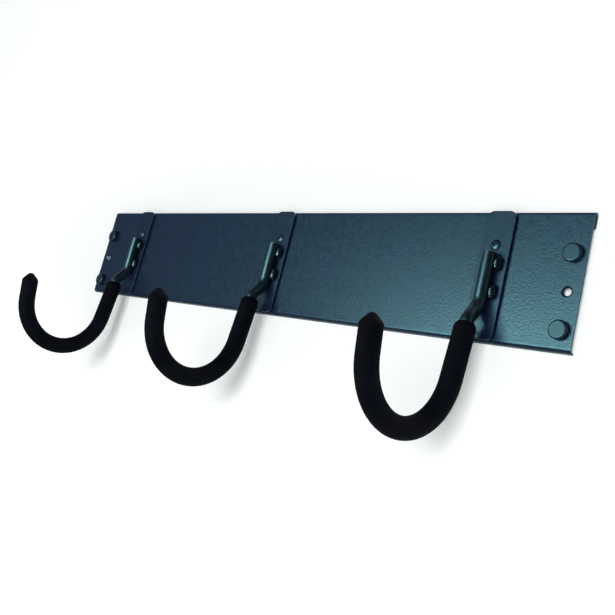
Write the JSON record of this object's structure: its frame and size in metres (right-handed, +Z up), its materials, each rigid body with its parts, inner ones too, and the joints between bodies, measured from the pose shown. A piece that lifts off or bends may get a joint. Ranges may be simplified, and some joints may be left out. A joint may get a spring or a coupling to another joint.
{
  "type": "wall hook rack",
  "caption": "Wall-mounted steel rail with riveted straps, each carrying a welded round-bar J hook in a black foam sleeve; capped screws at both ends.",
  "frame": {"origin": "on the wall, at the centre of the four wall screws", "axes": "+X along the rail to the right as one faces it, +Y into the wall, +Z up"},
  "size_m": [0.61, 0.1584, 0.1781],
  "materials": {
    "rail_paint": "satin",
    "strap_paint": "satin",
    "rivet_paint": "satin",
    "rod_paint": "satin",
    "weld_paint": "satin",
    "sleeve_foam": "matte",
    "screw_zinc": "satin",
    "washer_plastic": "matte",
    "cap_plastic": "satin"
  },
  "bodies": {
    "root": {"back_rail": "rail_paint", "hook_strap_left": "strap_paint", "upper_rivet_left": "rivet_paint", "lower_rivet_left": "rivet_paint", "hook_rod_left": "rod_paint", "hook_weld_left": "weld_paint", "foam_sleeve_left": "sleeve_foam", "hook_strap_middle": "strap_paint", "upper_rivet_middle": "rivet_paint", "lower_rivet_middle": "rivet_paint", "hook_rod_middle": "rod_paint", "hook_weld_middle": "weld_paint", "foam_sleeve_middle": "sleeve_foam", "hook_strap_right": "strap_paint", "upper_rivet_right": "rivet_paint", "lower_rivet_right": "rivet_paint", "hook_rod_right": "rod_paint", "hook_weld_right": "weld_paint", "foam_sleeve_right": "sleeve_foam", "wall_screw_upper_left": "screw_zinc", "cap_washer_upper_left": "washer_plastic", "screw_cap_upper_left": "cap_plastic", "wall_screw_upper_right": "screw_zinc", "cap_washer_upper_right": "washer_plastic", "screw_cap_upper_right": "cap_plastic", "wall_screw_lower_left": "screw_zinc", "cap_washer_lower_left": "washer_plastic", "screw_cap_lower_left": "cap_plastic", "wall_screw_lower_right": "screw_zinc", "cap_washer_lower_right": "washer_plastic", "screw_cap_lower_right": "cap_plastic"}
  },
  "joints": []
}
